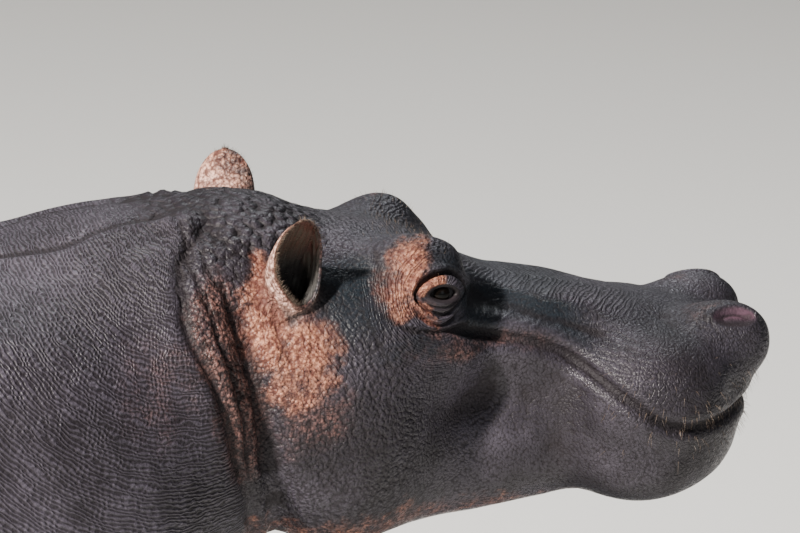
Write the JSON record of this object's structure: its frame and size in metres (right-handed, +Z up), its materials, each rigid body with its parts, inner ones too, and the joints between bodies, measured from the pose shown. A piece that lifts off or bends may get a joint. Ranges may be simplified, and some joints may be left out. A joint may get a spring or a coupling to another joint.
{
  "type": "hippopotamus model",
  "caption": "Life-size still model of an adult common hippopotamus, standing square with its head level, mouth shut and ears raised.",
  "frame": {"origin": "on the floor, under the middle of the animal's length and width", "axes": "+Z up; the animal faces -Y, and its left side is +X"},
  "size_m": [1.09, 3.2931, 1.4295],
  "materials": {
    "body_skin": "bare, finely wrinkled, damp skin",
    "face_skin": "bare, pebbled and folded, damp skin with orange-brown patches",
    "ear_skin": "thin, bare skin, orange-brown at the rim",
    "eye": "wet, polished ball",
    "nail": "smooth worn horn"
  },
  "bodies": {
    "root": {"ear_left": "ear_skin", "ear_right": "ear_skin", "eye_left": "eye", "eye_right": "eye", "head": "face_skin", "leg_fore_left": "body_skin", "leg_fore_right": "body_skin", "leg_hind_left": "body_skin", "leg_hind_right": "body_skin", "lower_jaw": "face_skin", "nail_fore_left_1": "nail", "nail_fore_left_2": "nail", "nail_fore_left_3": "nail", "nail_fore_left_4": "nail", "nail_fore_right_1": "nail", "nail_fore_right_2": "nail", "nail_fore_right_3": "nail", "nail_fore_right_4": "nail", "nail_hind_left_1": "nail", "nail_hind_left_2": "nail", "nail_hind_left_3": "nail", "nail_hind_left_4": "nail", "nail_hind_right_1": "nail", "nail_hind_right_2": "nail", "nail_hind_right_3": "nail", "nail_hind_right_4": "nail", "neck": "body_skin", "tail": "body_skin", "trunk": "body_skin"}
  },
  "joints": []
}
